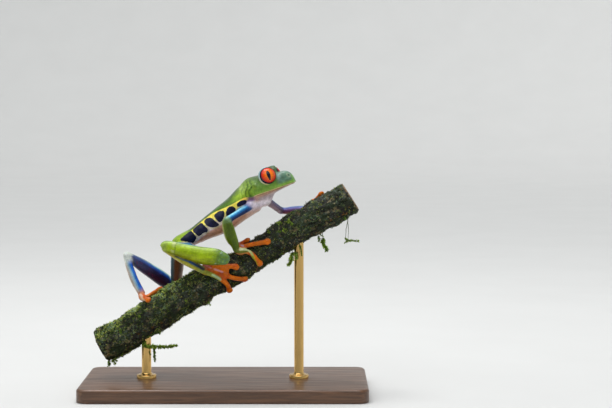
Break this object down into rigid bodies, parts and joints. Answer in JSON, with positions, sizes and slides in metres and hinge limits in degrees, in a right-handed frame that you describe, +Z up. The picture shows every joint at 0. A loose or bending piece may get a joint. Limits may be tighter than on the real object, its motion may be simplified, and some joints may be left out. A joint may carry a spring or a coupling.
{
  "type": "red-eyed tree frog model",
  "caption": "Life-size still model of a slender red-eyed tree frog climbing a sloping mossy branch, held over a flat base by short upright rods.",
  "frame": {"origin": "centre of the underside of the display base", "axes": "+X up the slope of the branch, the way the frog faces; +Y to the frog's left; +Z up"},
  "size_m": [0.104, 0.05, 0.083],
  "materials": {
    "skin": "moist satin skin, leaf green with blue flanks",
    "skin_blue": "moist satin skin, blue to violet",
    "skin_orange": "moist satin skin, orange",
    "eye": "wet gloss, red iris",
    "bark": "dark bark with moss",
    "stand_wood": "satin dark wood",
    "stand_brass": "satin brass"
  },
  "bodies": {
    "root": {"head": "skin", "torso": "skin", "eye_left": "eye", "eye_right": "eye", "right_thigh": "skin_blue", "right_upper_arm": "skin_blue", "right_shank": "skin", "right_tarsus": "skin", "right_forearm": "skin", "right_foot": "skin_orange", "right_hand": "skin_orange", "left_thigh": "skin_blue", "left_upper_arm": "skin_blue", "left_shank": "skin_blue", "left_tarsus": "skin_blue", "left_forearm": "skin_blue", "left_foot": "skin_orange", "left_hand": "skin_orange", "perch_branch": "bark", "stand_base": "stand_wood", "stand_rod_low": "stand_brass", "stand_rod_high": "stand_brass"}
  },
  "joints": []
}
